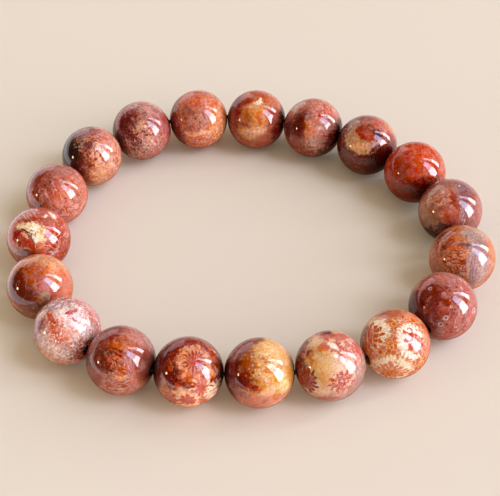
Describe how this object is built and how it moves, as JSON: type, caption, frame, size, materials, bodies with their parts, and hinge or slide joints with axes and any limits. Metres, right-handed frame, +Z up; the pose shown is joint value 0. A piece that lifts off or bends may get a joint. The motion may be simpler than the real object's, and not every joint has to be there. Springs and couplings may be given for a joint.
{
  "type": "beaded stretch bracelet",
  "caption": "Stretch bracelet of round polished fossil coral beads strung on an elastic cord, lying flat in an open oval loop.",
  "frame": {"origin": "middle of the bracelet's outline, at the level that the beads rest on", "axes": "+Z up, +X along the long way of the oval loop, with the bead numbers running anticlockwise seen from above"},
  "size_m": [0.0752, 0.0644, 0.0098],
  "materials": {
    "coral_pale": "polished, pink and cream with red coral flowers",
    "coral_amber": "polished, amber and orange",
    "coral_red": "polished, brick red to orange",
    "coral_brown": "polished, maroon and brown",
    "cord": "matt black stretch cord"
  },
  "bodies": {
    "root": {"bead_01": "coral_pale", "bead_02": "coral_brown", "bead_03": "coral_red", "bead_04": "coral_amber", "bead_05": "coral_pale", "bead_06": "coral_pale", "bead_07": "coral_brown", "bead_08": "coral_amber", "bead_09": "coral_brown", "bead_10": "coral_red", "bead_11": "coral_brown", "bead_12": "coral_brown", "bead_13": "coral_amber", "bead_14": "coral_red", "bead_15": "coral_brown", "bead_16": "coral_brown", "bead_17": "coral_red", "bead_18": "coral_red", "bead_19": "coral_red", "elastic_cord": "cord"}
  },
  "joints": []
}
